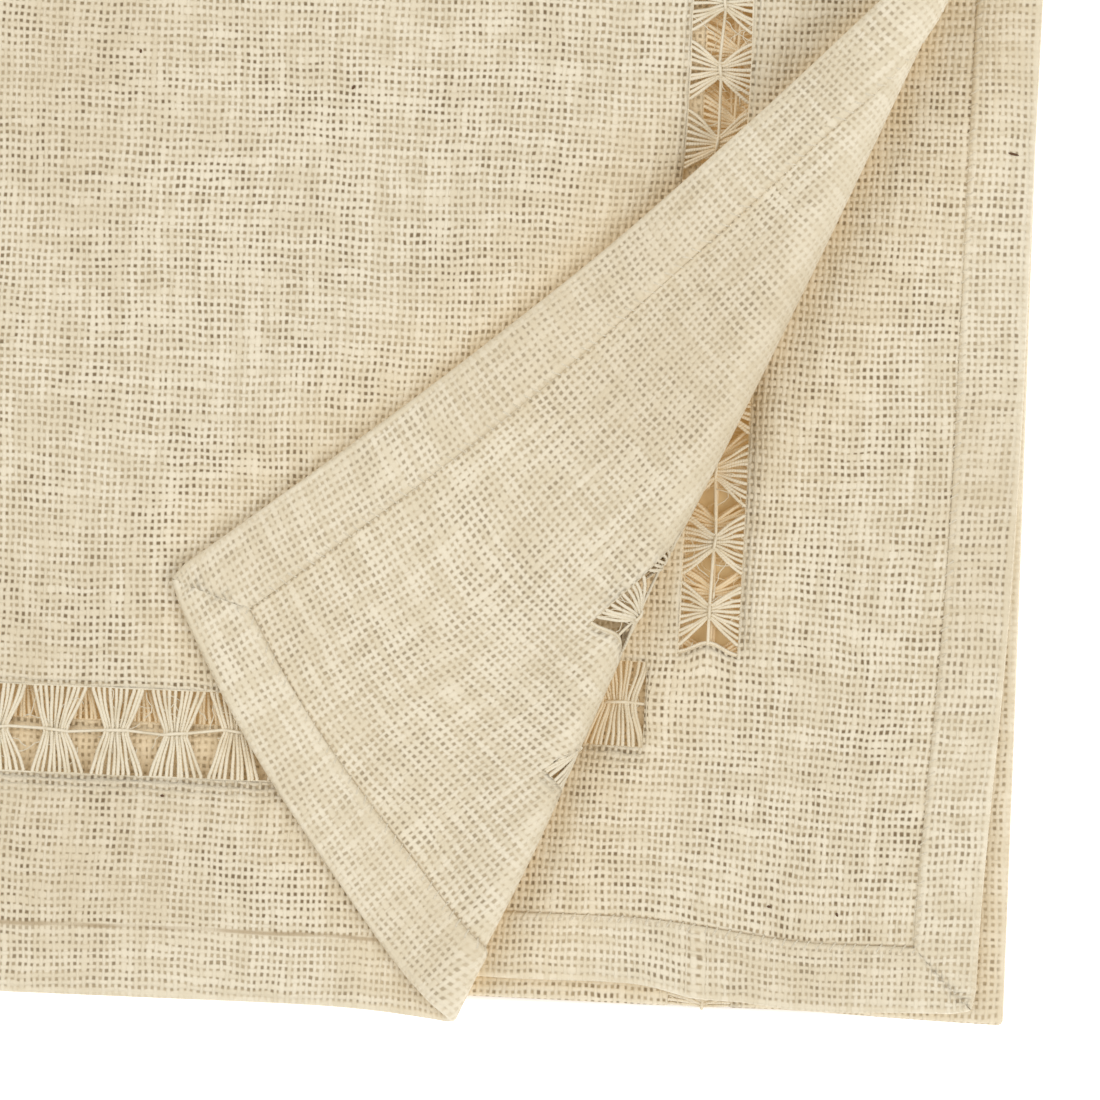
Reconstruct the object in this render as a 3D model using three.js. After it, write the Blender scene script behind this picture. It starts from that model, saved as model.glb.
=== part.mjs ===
// A natural cotton table runner with drawn-thread bands, folded in half and in half again.
// It lies flat, and the near right corner of its top layer is turned back over the layer itself.
// Millimetres. +X runs across the runner, +Y along it towards its two nested folds, +Z is up.
import * as THREE from 'three';

// The cut cloth. u runs across it from its middle, s along it from the end that lies on top.
const WIDTH = 406;
const LENGTH = 1829;
const PLY = 1.3;
const HEM_PLY = 1.3;
const SIDE_HEM = 14.8;
const END_HEMS = { top: 15.8, second: 14.4 };
const HEM_SLOPE = 1;
const LIE_GAP = 0.5;
const HEM_GAP = 0.4;

// The drawn-thread bands are a little thinner along their middle.
const BAND_TROUGH = 0.3;
const SIDE_BAND = { inner: 125.5, outer: 140, start: 81, end: LENGTH - 79 };
const END_BANDS = [
  { near: 50.7, far: 71.1, reach: 120 },
  { near: LENGTH - 75, far: LENGTH - 55.5, reach: 120 },
];

// Where the layers end and turn. The pack of four layers has its middle near x = 0, y = 0.
const TOP_END_Y = -230.5;
const SECOND_END_Y = -220;
const BOTTOM_FOLD_Y = -225.8;
const FOLD_LAG = 1.5;
const FOLD_RADII = { outer: 4.45, bottom: 2.15, inner: 1.4 };

// How far each pair of layers is lifted apart: by their hems where these meet, and at the folds.
const SPACING = PLY + LIE_GAP;
const HEM_LIFT = 2 * HEM_PLY + HEM_GAP - LIE_GAP;
const LIFTS = {
  third: { sides: HEM_LIFT, bottomFold: HEM_LIFT, topFold: 1 },
  second: { sides: 0, bottomFold: 0, topFold: 1 },
  top: { sides: HEM_LIFT, ends: HEM_LIFT, topFold: 1.5 },
};
const SIDE_RISE = { from: 140, to: 176 };
const END_RISE = { from: -160, to: -206 };
const BOTTOM_FOLD_RISE = { from: -160, to: -221 };
const TOP_FOLD_RISE = { from: 171, to: 216 };

// The top layer is drawn a little narrower than the others, less and less towards its fold.
const NARROWING = { width: 9, from: 430, to: 120 };

// The corner turns back over a straight line on the top layer, in a soft cone.
const TURN = {
  foot: new THREE.Vector2(73.3, -229.9),
  head: new THREE.Vector2(178.3, 30.4),
  radius: 2.6,
  growth: 0.024,
  widest: 8.8,
  pastHalfTurn: THREE.MathUtils.degToRad(17),
  settleRadii: 8,
  slideRadii: 4.5,
  rest: SPACING + 0.6,
};
const TURN_SHEAR = { from: 35, to: 114, along: 20 };

// Small pulls in the plane of the cloth, each centred at u, s and fading with distance.
const PULLS = [
  { where: 'top layer, foot of the turn', u: 96, s: 0, reach: 28, dx: -1.5, dy: -3.5 },
  { where: 'top layer, left of its end band', u: 0, s: 60, reach: 150, dx: 2.5, dy: 0 },
  { where: 'top layer, end of its side band', u: 133, s: 85, reach: 50, dx: -2, dy: 0 },
  { where: 'second layer, right side', u: 203, s: LENGTH - 150, reach: 110, dx: -1.8, dy: 0 },
  { where: 'second layer, corner', u: 203, s: LENGTH, reach: 75, dx: -6.5, dy: -6.5 },
  { where: 'second layer, pucker in its end hem', u: 134, s: LENGTH, reach: 14, dx: 0, dy: -1.5 },
  { where: 'third layer, right side', u: 203, s: 1140, reach: 140, dx: -1.9, dy: 0 },
  { where: 'bottom layer, right side', u: 203, s: 680, reach: 140, dx: -1.9, dy: 0 },
  { where: 'bottom fold, at the side band', u: 133, s: 914, reach: 12, dx: 0, dy: 1.2 },
];

// The flat cloth is cut into cells no longer than this, and closer where the layers rise.
const LONGEST_CELL = 60;
const RISE_STEPS = 3;
const LEAST_CELL = 3;
const SAME_LINE = 0.01;
const FOLD_STEPS = { outer: 8, others: 6 };
const TURN_STEPS = 8;
const SNAP = 0.6;
const NORMAL_STEP = 0.05;

const smooth = (from, to, value) => {
  const t = THREE.MathUtils.clamp((value - from) / (to - from), 0, 1);
  return t * t * (3 - 2 * t);
};

// The section: flat stretches and folds, in the order in which the cloth runs through them.
function foldedSection() {
  const arcs = Math.PI * (FOLD_RADII.outer + FOLD_RADII.bottom + FOLD_RADII.inner);
  const ends = TOP_END_Y + SECOND_END_Y + 2 * BOTTOM_FOLD_Y + 2 * FOLD_LAG;
  const topY = (LENGTH - arcs + ends) / 4;
  const stretches = [
    { layer: 'top', from: TOP_END_Y, to: topY },
    { layer: 'top', next: 'bottom', y: topY, side: 1, radius: FOLD_RADII.outer },
    { layer: 'bottom', from: topY, to: BOTTOM_FOLD_Y },
    { layer: 'bottom', next: 'third', y: BOTTOM_FOLD_Y, side: -1, radius: FOLD_RADII.bottom },
    { layer: 'third', from: BOTTOM_FOLD_Y, to: topY - FOLD_LAG },
    { layer: 'third', next: 'second', y: topY - FOLD_LAG, side: 1, radius: FOLD_RADII.inner },
    { layer: 'second', from: topY - FOLD_LAG, to: SECOND_END_Y },
  ];
  let start = 0;
  for (const stretch of stretches) {
    stretch.start = start;
    stretch.length = stretch.next ? Math.PI * stretch.radius : Math.abs(stretch.to - stretch.from);
    start += stretch.length;
  }
  return stretches;
}

const SECTION = foldedSection();

// How high the middle of a layer lies at x, y.
function layerHeight(layer, x, y) {
  const near = {
    sides: smooth(SIDE_RISE.from, SIDE_RISE.to, Math.abs(x)),
    ends: smooth(END_RISE.from, END_RISE.to, y),
    bottomFold: smooth(BOTTOM_FOLD_RISE.from, BOTTOM_FOLD_RISE.to, y),
    topFold: smooth(TOP_FOLD_RISE.from, TOP_FOLD_RISE.to, y),
  };
  let height = PLY / 2;
  for (const upper of ['third', 'second', 'top']) {
    if (layer === 'bottom') return height;
    height += SPACING + Math.hypot(...Object.entries(LIFTS[upper]).map(([zone, lift]) => lift * near[zone]));
    if (layer === upper) return height;
  }
  return height;
}

const turnAlong = TURN.head.clone().sub(TURN.foot).normalize();
const turnAcross = new THREE.Vector2(turnAlong.y, -turnAlong.x);

// A place on the top layer as its distances along the turn's line and beyond it.
function fromTurn(x, y) {
  const offset = new THREE.Vector2(x, y).sub(TURN.foot);
  return { along: offset.dot(turnAlong), beyond: offset.dot(turnAcross) };
}

const turnRadius = (along) => Math.min(TURN.radius + TURN.growth * along, TURN.widest);

// The turn's section: round by more than half a turn, straight down, then level on the top layer.
function turnSection(beyond, radius) {
  const over = TURN.pastHalfTurn;
  const settle = TURN.settleRadii * radius;
  const arc = (Math.PI + over) * radius;
  const top = radius * (1 + Math.cos(over));
  const slide = (top - TURN.rest - settle * (1 - Math.cos(over))) / Math.sin(over);
  if (beyond < arc) {
    const angle = beyond / radius;
    return { out: radius * Math.sin(angle), height: radius * (1 - Math.cos(angle)) };
  }
  const slid = Math.min(beyond - arc, slide);
  const left = over - THREE.MathUtils.clamp((beyond - arc - slide) / settle, 0, over);
  const level = Math.max(beyond - arc - slide - settle * over, 0);
  return {
    out: -radius * Math.sin(over) - slid * Math.cos(over) - settle * (Math.sin(over) - Math.sin(left)) - level,
    height: top - slid * Math.sin(over) - settle * (Math.cos(left) - Math.cos(over)),
  };
}

function turnBack(x, y) {
  const { along, beyond } = fromTurn(x, y);
  if (beyond <= 0) return { x, y, height: 0 };
  const { out, height } = turnSection(beyond, turnRadius(along));
  const shear = TURN_SHEAR.along * Math.max((beyond - TURN_SHEAR.from) / (TURN_SHEAR.to - TURN_SHEAR.from), 0) ** 2;
  const place = TURN.foot.clone().addScaledVector(turnAlong, along + shear).addScaledVector(turnAcross, out);
  return { x: place.x, y: place.y, height };
}

const topLayerX = (u, s) =>
  u - NARROWING.width * smooth(NARROWING.from, NARROWING.to, s) * (0.5 + u / WIDTH);

// The middle of the cloth's thickness at u, s, in space.
function middleOfCloth(u, s) {
  const stretch = SECTION.findLast((one) => s >= one.start) ?? SECTION[0];
  const run = s - stretch.start;
  let place = { x: topLayerX(u, s), height: 0 };
  let angle = 0;
  if (stretch.next) {
    angle = (Math.PI * run) / stretch.length;
    place.y = stretch.y;
  } else {
    place.y = stretch.from + Math.sign(stretch.to - stretch.from) * run;
    if (stretch.layer === 'top') place = turnBack(place.x, place.y);
  }
  for (const pull of PULLS) {
    const strength = Math.exp(-((u - pull.u) ** 2 + (s - pull.s) ** 2) / pull.reach ** 2);
    place.x += pull.dx * strength;
    place.y += pull.dy * strength;
  }
  const z = layerHeight(stretch.layer, place.x, place.y);
  if (!stretch.next) return new THREE.Vector3(place.x, place.y, z + place.height);
  const nextZ = layerHeight(stretch.next, place.x, place.y);
  const bulge = (Math.abs(z - nextZ) / 2) * Math.sin(angle);
  return new THREE.Vector3(
    place.x,
    place.y + stretch.side * bulge,
    (z + nextZ) / 2 + ((z - nextZ) / 2) * Math.cos(angle),
  );
}

// How far the front and the back of the cloth lie from its middle.
function halfThickness(u, s) {
  const hemAt = (depth, distance) => 1 - smooth(depth, depth + HEM_SLOPE, distance);
  const hem = Math.max(
    hemAt(SIDE_HEM, WIDTH / 2 - Math.abs(u)),
    hemAt(END_HEMS.top, s),
    hemAt(END_HEMS.second, LENGTH - s),
  );
  const tent = (value, from, to) => Math.max(1 - Math.abs((2 * value - from - to) / (to - from)), 0);
  const inSideBand = s > SIDE_BAND.start && s < SIDE_BAND.end;
  const troughs = END_BANDS.map((band) => (Math.abs(u) < band.reach ? tent(s, band.near, band.far) : 0));
  troughs.push(inSideBand ? tent(Math.abs(u), SIDE_BAND.inner, SIDE_BAND.outer) : 0);
  const half = (PLY - BAND_TROUGH * Math.max(...troughs)) / 2;
  return { front: half, back: half + HEM_PLY * hem };
}

// Lines across the flat cloth: the fixed ones, the wished ones that keep clear of them, and even steps between.
function stations(fixed, wished) {
  const clear = wished.filter((line) => fixed.every((other) => Math.abs(line - other) > LEAST_CELL));
  const all = [...fixed, ...clear].sort((a, b) => a - b);
  const sorted = all.filter((line, i) => i === 0 || line - all[i - 1] > SAME_LINE);
  const lines = [sorted[0]];
  for (let i = 1; i < sorted.length; i += 1) {
    const length = sorted[i] - sorted[i - 1];
    const parts = Math.ceil(length / LONGEST_CELL);
    for (let part = 1; part <= parts; part += 1) lines.push(sorted[i - 1] + (length * part) / parts);
  }
  return lines;
}

const stepsOf = ({ from, to }, steps) =>
  Array.from({ length: steps + 1 }, (_, step) => from + ((to - from) * step) / steps);

function linesAcross() {
  const half = WIDTH / 2;
  const hem = [half, half - SIDE_HEM, half - SIDE_HEM - HEM_SLOPE];
  const band = [SIDE_BAND.outer, (SIDE_BAND.inner + SIDE_BAND.outer) / 2, SIDE_BAND.inner];
  const oneSide = [...hem, ...band];
  const rises = stepsOf(SIDE_RISE, RISE_STEPS);
  return stations([...oneSide, ...oneSide.map((u) => -u)], [...rises, ...rises.map((u) => -u)]);
}

function linesAlong() {
  const fixed = [END_HEMS.top, END_HEMS.top + HEM_SLOPE];
  fixed.push(LENGTH - END_HEMS.second - HEM_SLOPE, LENGTH - END_HEMS.second, LENGTH);
  for (const band of END_BANDS) fixed.push(band.near, (band.near + band.far) / 2, band.far);
  const rises = [...stepsOf(END_RISE, RISE_STEPS), BOTTOM_FOLD_RISE.to, ...stepsOf(TOP_FOLD_RISE, RISE_STEPS)];
  const wished = [];
  for (const stretch of SECTION) {
    const end = stretch.start + stretch.length;
    if (stretch.next) {
      const steps = stretch.radius === FOLD_RADII.outer ? FOLD_STEPS.outer : FOLD_STEPS.others;
      fixed.push(...stepsOf({ from: stretch.start, to: end }, steps));
    } else {
      fixed.push(stretch.start);
      wished.push(...rises.map((y) => stretch.start + Math.abs(y - stretch.from)));
    }
  }
  return stations(fixed, wished.filter((s) => s < LENGTH));
}

function flatCells() {
  const across = linesAcross();
  const along = linesAlong();
  const cells = [];
  for (let i = 1; i < across.length; i += 1) {
    for (let j = 1; j < along.length; j += 1) {
      const [left, right, low, high] = [across[i - 1], across[i], along[j - 1], along[j]];
      cells.push([[left, low], [right, low], [right, high], [left, high]]);
    }
  }
  return cells;
}

// Cuts every cell of the top layer along the line where the turn's section reaches a multiple of its radius.
function cutAlongTurn(cells, radii) {
  const value = ([u, s]) => {
    const { along, beyond } = fromTurn(topLayerX(u, s), TOP_END_Y + s);
    const exact = beyond - radii * turnRadius(along);
    return Math.abs(exact) < SNAP ? 0 : exact;
  };
  return cells.flatMap((cell) => {
    const values = cell.map((corner) => (corner[1] > SECTION[0].length ? -1 : value(corner)));
    if (!values.some((v) => v > 0) || !values.some((v) => v < 0)) return [cell];
    const sides = [[], []];
    cell.forEach((corner, i) => {
      const next = (i + 1) % cell.length;
      if (values[i] >= 0) sides[0].push(corner);
      if (values[i] <= 0) sides[1].push(corner);
      if (values[i] * values[next] < 0) {
        const t = values[i] / (values[i] - values[next]);
        const crossing = corner.map((c, axis) => c + t * (cell[next][axis] - c));
        sides[0].push(crossing);
        sides[1].push(crossing);
      }
    });
    return sides;
  });
}

// The closed solid: the cells as the front, the same cells as the back, and a wall round the edge.
function clothGeometry() {
  let cells = flatCells();
  const over = Math.PI + TURN.pastHalfTurn;
  for (let step = 0; step <= TURN_STEPS; step += 1) cells = cutAlongTurn(cells, (over * step) / TURN_STEPS);
  const landing = over + TURN.slideRadii;
  for (const radii of [landing, landing + TURN.settleRadii * TURN.pastHalfTurn]) {
    cells = cutAlongTurn(cells, radii);
  }
  const corners = [];
  const indexOf = new Map();
  const corner = ([u, s]) => {
    const key = `${u.toFixed(3)},${s.toFixed(3)}`;
    if (!indexOf.has(key)) {
      indexOf.set(key, corners.length);
      corners.push([u, s]);
    }
    return indexOf.get(key);
  };
  const faces = cells.map((cell) => cell.map(corner));
  const positions = [];
  for (const side of ['front', 'back']) {
    for (const [u, s] of corners) {
      const across = middleOfCloth(u + NORMAL_STEP, s).sub(middleOfCloth(u - NORMAL_STEP, s));
      const along = middleOfCloth(u, s + NORMAL_STEP).sub(middleOfCloth(u, s - NORMAL_STEP));
      const normal = across.cross(along).normalize();
      const offset = halfThickness(u, s)[side] * (side === 'front' ? 1 : -1);
      positions.push(...middleOfCloth(u, s).addScaledVector(normal, offset).toArray());
    }
  }
  const back = corners.length;
  const triangles = [];
  const edges = new Set(faces.flatMap((face) => face.map((a, i) => `${a},${face[(i + 1) % face.length]}`)));
  for (const face of faces) {
    for (let i = 2; i < face.length; i += 1) {
      triangles.push(face[0], face[i - 1], face[i]);
      triangles.push(back + face[0], back + face[i], back + face[i - 1]);
    }
    face.forEach((a, i) => {
      const b = face[(i + 1) % face.length];
      if (!edges.has(`${b},${a}`)) triangles.push(b, a, back + a, b, back + a, back + b);
    });
  }
  const geometry = new THREE.BufferGeometry();
  geometry.setAttribute('position', new THREE.Float32BufferAttribute(positions, 3));
  geometry.setIndex(triangles);
  geometry.computeVertexNormals();
  return geometry;
}

function runnerCloth() {
  const geometry = clothGeometry();
  geometry.computeBoundingBox();
  const { min, max } = geometry.boundingBox;
  const material = new THREE.MeshStandardMaterial({ color: 0xe6dabb, roughness: 0.95, metalness: 0 });
  const mesh = new THREE.Mesh(geometry, material);
  mesh.name = 'runner_cloth';
  mesh.position.set(-(min.x + max.x) / 2, -(min.y + max.y) / 2, -min.z);
  return mesh;
}

const runner = new THREE.Group();
runner.add(runnerCloth());
export default runner;
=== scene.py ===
import math
import random

import bmesh
import bpy
import numpy as np
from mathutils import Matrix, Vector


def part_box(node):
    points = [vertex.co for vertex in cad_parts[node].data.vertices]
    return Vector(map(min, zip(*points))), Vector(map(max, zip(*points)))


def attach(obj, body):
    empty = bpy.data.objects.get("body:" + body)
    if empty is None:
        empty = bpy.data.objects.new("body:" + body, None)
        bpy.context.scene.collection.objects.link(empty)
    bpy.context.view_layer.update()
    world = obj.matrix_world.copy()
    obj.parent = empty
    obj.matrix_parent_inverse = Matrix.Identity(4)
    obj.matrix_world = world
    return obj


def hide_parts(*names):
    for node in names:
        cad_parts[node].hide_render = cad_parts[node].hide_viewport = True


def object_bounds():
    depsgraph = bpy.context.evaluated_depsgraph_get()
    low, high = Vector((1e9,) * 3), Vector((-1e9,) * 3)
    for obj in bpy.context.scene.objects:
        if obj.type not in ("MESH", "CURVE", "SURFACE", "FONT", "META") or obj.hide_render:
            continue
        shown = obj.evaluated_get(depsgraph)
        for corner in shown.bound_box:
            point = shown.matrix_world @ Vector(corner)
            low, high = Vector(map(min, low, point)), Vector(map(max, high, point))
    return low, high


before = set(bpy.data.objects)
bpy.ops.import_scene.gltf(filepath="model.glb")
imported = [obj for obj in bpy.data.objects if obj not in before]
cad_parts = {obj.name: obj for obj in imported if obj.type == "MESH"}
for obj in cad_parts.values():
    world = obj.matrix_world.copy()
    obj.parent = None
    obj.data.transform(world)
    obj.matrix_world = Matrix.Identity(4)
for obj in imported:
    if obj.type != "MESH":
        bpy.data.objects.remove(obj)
cad_box = [list(corner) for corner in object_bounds()]

# The runner is one length of loosely woven natural cotton, folded in half and in half again.
# One corner of its top end is turned back over it. Sizes are in millimetres: u runs across the
# flat cloth from its middle, s along it from the end that lies on top.
MM = 0.001
WIDTH, LENGTH = 406, 1829
PLY = 1.3
SPACING = 1.8
TOP_END_Y, SECOND_END_Y, BOTTOM_FOLD_Y, FOLD_LAG = -230.5, -220, -225.8, 1.5
FOLD_RADII = {"outer": 4.45, "bottom": 2.15, "inner": 1.4}
LAYERS = ("bottom", "third", "second", "top")
# Hems and folds hold each layer off the one below it by this much more.
HEM_LIFT = 2.5
LIFTS = {
    "third": {"sides": HEM_LIFT, "bottom fold": HEM_LIFT, "top fold": 1},
    "second": {"top fold": 1},
    "top": {"sides": HEM_LIFT, "ends": HEM_LIFT, "top fold": 1.5},
}
SIDE_RISE, END_RISE = (140, 176), (-160, -206)
BOTTOM_FOLD_RISE, TOP_FOLD_RISE = (-160, -221), (171, 216)
NARROWING = {"width": 9, "from": 430, "to": 120}
RIPPLE = 0.35


def smooth(start, end, value):
    t = np.clip((value - start) / (end - start), 0, 1)
    return t * t * (3 - 2 * t)


def folded_section():
    """The cloth's flat stretches and folds, in the order in which s runs through them."""
    radii = FOLD_RADII
    arcs = math.pi * sum(radii.values())
    ends = TOP_END_Y + SECOND_END_Y + 2 * BOTTOM_FOLD_Y + 2 * FOLD_LAG
    top_y = (LENGTH - arcs + ends) / 4
    stretches = [
        {"layer": "top", "from": TOP_END_Y, "to": top_y},
        {"layer": "top", "next": "bottom", "y": top_y, "side": 1, "radius": radii["outer"]},
        {"layer": "bottom", "from": top_y, "to": BOTTOM_FOLD_Y},
        {"layer": "bottom", "next": "third", "y": BOTTOM_FOLD_Y, "side": -1, "radius": radii["bottom"]},
        {"layer": "third", "from": BOTTOM_FOLD_Y, "to": top_y - FOLD_LAG},
        {"layer": "third", "next": "second", "y": top_y - FOLD_LAG, "side": 1, "radius": radii["inner"]},
        {"layer": "second", "from": top_y - FOLD_LAG, "to": SECOND_END_Y},
    ]
    start = 0
    for stretch in stretches:
        stretch["start"] = start
        if "next" in stretch:
            stretch["length"] = math.pi * stretch["radius"]
        else:
            stretch["length"] = abs(stretch["to"] - stretch["from"])
        start += stretch["length"]
    return stretches


SECTION = folded_section()


def layer_height(layer, x, y):
    """How high the middle of a layer lies: each is lifted off the one below by hems and folds."""
    near = {
        "sides": smooth(*SIDE_RISE, np.abs(x)),
        "ends": smooth(*END_RISE, y),
        "bottom fold": smooth(*BOTTOM_FOLD_RISE, y),
        "top fold": smooth(*TOP_FOLD_RISE, y),
    }
    ripple = 2 + np.sin(x / 17 + y / 41) + np.sin(y / 23 - x / 60 + 1)
    height = PLY / 2 + 0 * x
    for upper in LAYERS[1 : LAYERS.index(layer) + 1]:
        lift = sum((size * near[zone]) ** 2 for zone, size in LIFTS[upper].items()) ** 0.5
        height = height + SPACING + lift + RIPPLE / 3 * ripple
    return height


# The corner rolls over along a line from its foot, at the end's edge, to its head.
TURN_FOOT, TURN_HEAD = np.array([73.3, -229.9]), np.array([178.3, 30.4])
TURN_ALONG = (TURN_HEAD - TURN_FOOT) / np.linalg.norm(TURN_HEAD - TURN_FOOT)
TURN_ACROSS = np.array([TURN_ALONG[1], -TURN_ALONG[0]])
TURN_RADIUS, TURN_GROWTH, TURN_WIDEST = 2.6, 0.024, 8.8
TURN_OVER = math.pi + math.radians(17)
TURN_SLIDE, TURN_SETTLE, TURN_REST = 4.5, 8, SPACING + 0.6
TURN_SHEAR = {"from": 35, "to": 114, "along": 20}


def turn_radius(along):
    return np.minimum(TURN_RADIUS + TURN_GROWTH * along, TURN_WIDEST)


def from_turn(x, y):
    """A place on the top layer as its distances along the turn's line and beyond it."""
    dx, dy = x - TURN_FOOT[0], y - TURN_FOOT[1]
    return dx * TURN_ALONG[0] + dy * TURN_ALONG[1], dx * TURN_ACROSS[0] + dy * TURN_ACROSS[1]


def turn_back(x, y):
    """The corner rolls over by more than half a turn, slides down and then lies level on its layer."""
    along, beyond = from_turn(x, y)
    radius = turn_radius(along)
    over = TURN_OVER - math.pi
    settle = TURN_SETTLE * radius
    top = radius * (1 + math.cos(over))
    slide = (top - TURN_REST - settle * (1 - math.cos(over))) / math.sin(over)
    angle = np.clip(beyond / radius, 0, TURN_OVER)
    past = beyond - TURN_OVER * radius
    slid = np.clip(past, 0, slide)
    left = over - np.clip((past - slide) / settle, 0, over)
    level = np.maximum(past - slide - settle * over, 0)
    out = radius * np.sin(angle) - slid * math.cos(over)
    out = out - settle * (math.sin(over) - np.sin(left)) - level
    height = radius * (1 - np.cos(angle)) - slid * math.sin(over)
    height = height - settle * (np.cos(left) - math.cos(over))
    shear_width = TURN_SHEAR["to"] - TURN_SHEAR["from"]
    shear_share = np.maximum((beyond - TURN_SHEAR["from"]) / shear_width, 0)
    along = along + TURN_SHEAR["along"] * shear_share**2
    turned = beyond > 0
    new_x = TURN_FOOT[0] + TURN_ALONG[0] * along + TURN_ACROSS[0] * out
    new_y = TURN_FOOT[1] + TURN_ALONG[1] * along + TURN_ACROSS[1] * out
    return np.where(turned, new_x, x), np.where(turned, new_y, y), np.where(turned, height, 0)


# Small pulls in the plane of the cloth. Five are on the top layer and five on the second, then
# two at the near fold, and one each on the right side of the third and the bottom layer.
PULLS = (
    {"u": 96, "s": 0, "reach": 28, "shift": (-3.4, -3.3)},
    {"u": 203, "s": 0, "reach": 40, "shift": (1.2, 0.4)},
    {"u": 0, "s": 60, "reach": 150, "shift": (2.5, 0)},
    {"u": 133, "s": 85, "reach": 50, "shift": (-2, 0)},
    {"u": 133, "s": 210, "reach": 32, "shift": (1.3, 0)},
    {"u": 203, "s": LENGTH - 150, "reach": 110, "shift": (-1.3, 0)},
    {"u": 203, "s": LENGTH, "reach": 75, "shift": (-6.5, -6.5)},
    {"u": 134, "s": LENGTH, "reach": 9, "shift": (0, -1.6)},
    {"u": 86, "s": LENGTH, "reach": 30, "shift": (0, -2)},
    {"u": 158, "s": LENGTH, "reach": 24, "shift": (0, -2.6)},
    {"u": 85, "s": 926, "reach": 60, "shift": (0, 1.5)},
    {"u": 162, "s": 926, "reach": 34, "shift": (0, 1)},
    {"u": 203, "s": 1140, "reach": 140, "shift": (-1.1, 0)},
    {"u": 203, "s": 680, "reach": 140, "shift": (-1.1, 0)},
)

# A soft ridge runs across the hem of the second end, where its side band pulls at it.
PUCKER = {"u": 134.5, "half_width": 1.5, "height": 0.9, "from": LENGTH - 30, "to": LENGTH - 12}

# Where the turned corner's band starts, its drawn-in threads also shift the cloth along itself.
SLIP = {"u": 133, "s": 85, "reach": 45, "shift": 5}


def top_layer_x(u, s):
    narrowing = NARROWING["width"] * smooth(NARROWING["from"], NARROWING["to"], s) * (0.5 + u / WIDTH)
    off_slip = (u - SLIP["u"]) ** 2 + (s - SLIP["s"]) ** 2
    return u - narrowing - SLIP["shift"] * np.exp(-off_slip / SLIP["reach"] ** 2)


def middle_of_cloth(u, s):
    """Where the middle of the cloth's thickness lies at each u, s, as rows of x, y, z."""
    starts = np.array([stretch["start"] for stretch in SECTION])
    which = np.clip(np.searchsorted(starts, s, side="right") - 1, 0, len(SECTION) - 1)
    x, y, rise = top_layer_x(u, s), np.zeros_like(s), np.zeros_like(s)
    for number, stretch in enumerate(SECTION):
        on = which == number
        if "next" in stretch:
            y[on] = stretch["y"]
            continue
        way = math.copysign(1, stretch["to"] - stretch["from"])
        y[on] = stretch["from"] + way * (s[on] - stretch["start"])
        if stretch["layer"] == "top":
            x[on], y[on], rise[on] = turn_back(x[on], y[on])
    for pull in PULLS:
        away = (u - pull["u"]) ** 2 + (s - pull["s"]) ** 2
        strength = np.exp(-away / pull["reach"] ** 2)
        x, y = x + pull["shift"][0] * strength, y + pull["shift"][1] * strength
    z = rise
    for number, stretch in enumerate(SECTION):
        on = which == number
        here = layer_height(stretch["layer"], x[on], y[on])
        if "next" in stretch:
            there = layer_height(stretch["next"], x[on], y[on])
            angle = math.pi * (s[on] - stretch["start"]) / stretch["length"]
            y[on] += stretch["side"] * np.abs(here - there) / 2 * np.sin(angle)
            here = (here + there) / 2 + (here - there) / 2 * np.cos(angle)
        z[on] += here
    across = np.exp(-(((u - PUCKER["u"]) / PUCKER["half_width"]) ** 2))
    z += PUCKER["height"] * across * smooth(PUCKER["from"], PUCKER["to"], s)
    return np.stack([x, y, z], axis=1)


def lay(u, s, above=0.0):
    """Where a point lies that is this far above the front of the flat cloth's middle, in metres."""
    u, s = np.asarray(u, float), np.asarray(s, float)
    step = 0.05
    across = middle_of_cloth(u + step, s) - middle_of_cloth(u - step, s)
    along = middle_of_cloth(u, s + step) - middle_of_cloth(u, s - step)
    normal = np.cross(across, along)
    normal /= np.linalg.norm(normal, axis=1, keepdims=True)
    place = middle_of_cloth(u, s) + normal * np.reshape(above, (-1, 1))
    return (place - FRAME_SHIFT) * MM


# The folds are placed by the frame's own box: its left side, and the back of its outer fold.
low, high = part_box("runner_cloth")
outer_fold = SECTION[1]
outer_back = middle_of_cloth(np.zeros(1), np.array([outer_fold["start"] + outer_fold["length"] / 2]))[0]
FRAME_SHIFT = np.array([-WIDTH / 2 - low.x / MM, outer_back[1] + PLY / 2 - high.y / MM, 0])

# The cloth panel has its four edges turned to the back and hemmed, with mitred corners.
# Threads are drawn out of it in four bands, one near each end and one along each side,
# which leaves long openings: the threads that cross them are pieces of their own.
THICKNESS = 1.1
EDGE = THICKNESS / 2
SIDE_HEM, TOP_HEM, SECOND_HEM = 14.8, 15.8, 14.4
HEM_ROLL, HEM_CURL = 0.62, 0.85
CORNER_ROUND = 3.2
MITRE_GAP = 0.03
GRAIN, SMALL_GRAIN = 6.5, 2.6
FINE_NEAR = {"pucker": 3, "end band": 6, "side band": 12}
FOLD_STEPS, TURN_STEPS = 10, 19
SAME_PLACE = 0.05
SIDE_BAND = {"inner": 125.5, "outer": 140, "start": 81, "end": LENGTH - 74.5}
END_BANDS = (
    {"name": "top", "near": 50.7, "far": 71.1, "left": -122, "right": 118},
    {"name": "under", "near": LENGTH - 72.3, "far": LENGTH - 52.8, "left": -118, "right": 118.5},
)
END_BAND_REACH = 120
END_PULL, END_PULL_FADE = 2.4, 5


def hem_length(depth):
    return math.pi * HEM_ROLL + depth - EDGE - HEM_ROLL - HEM_CURL + math.pi / 2 * HEM_CURL


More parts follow.
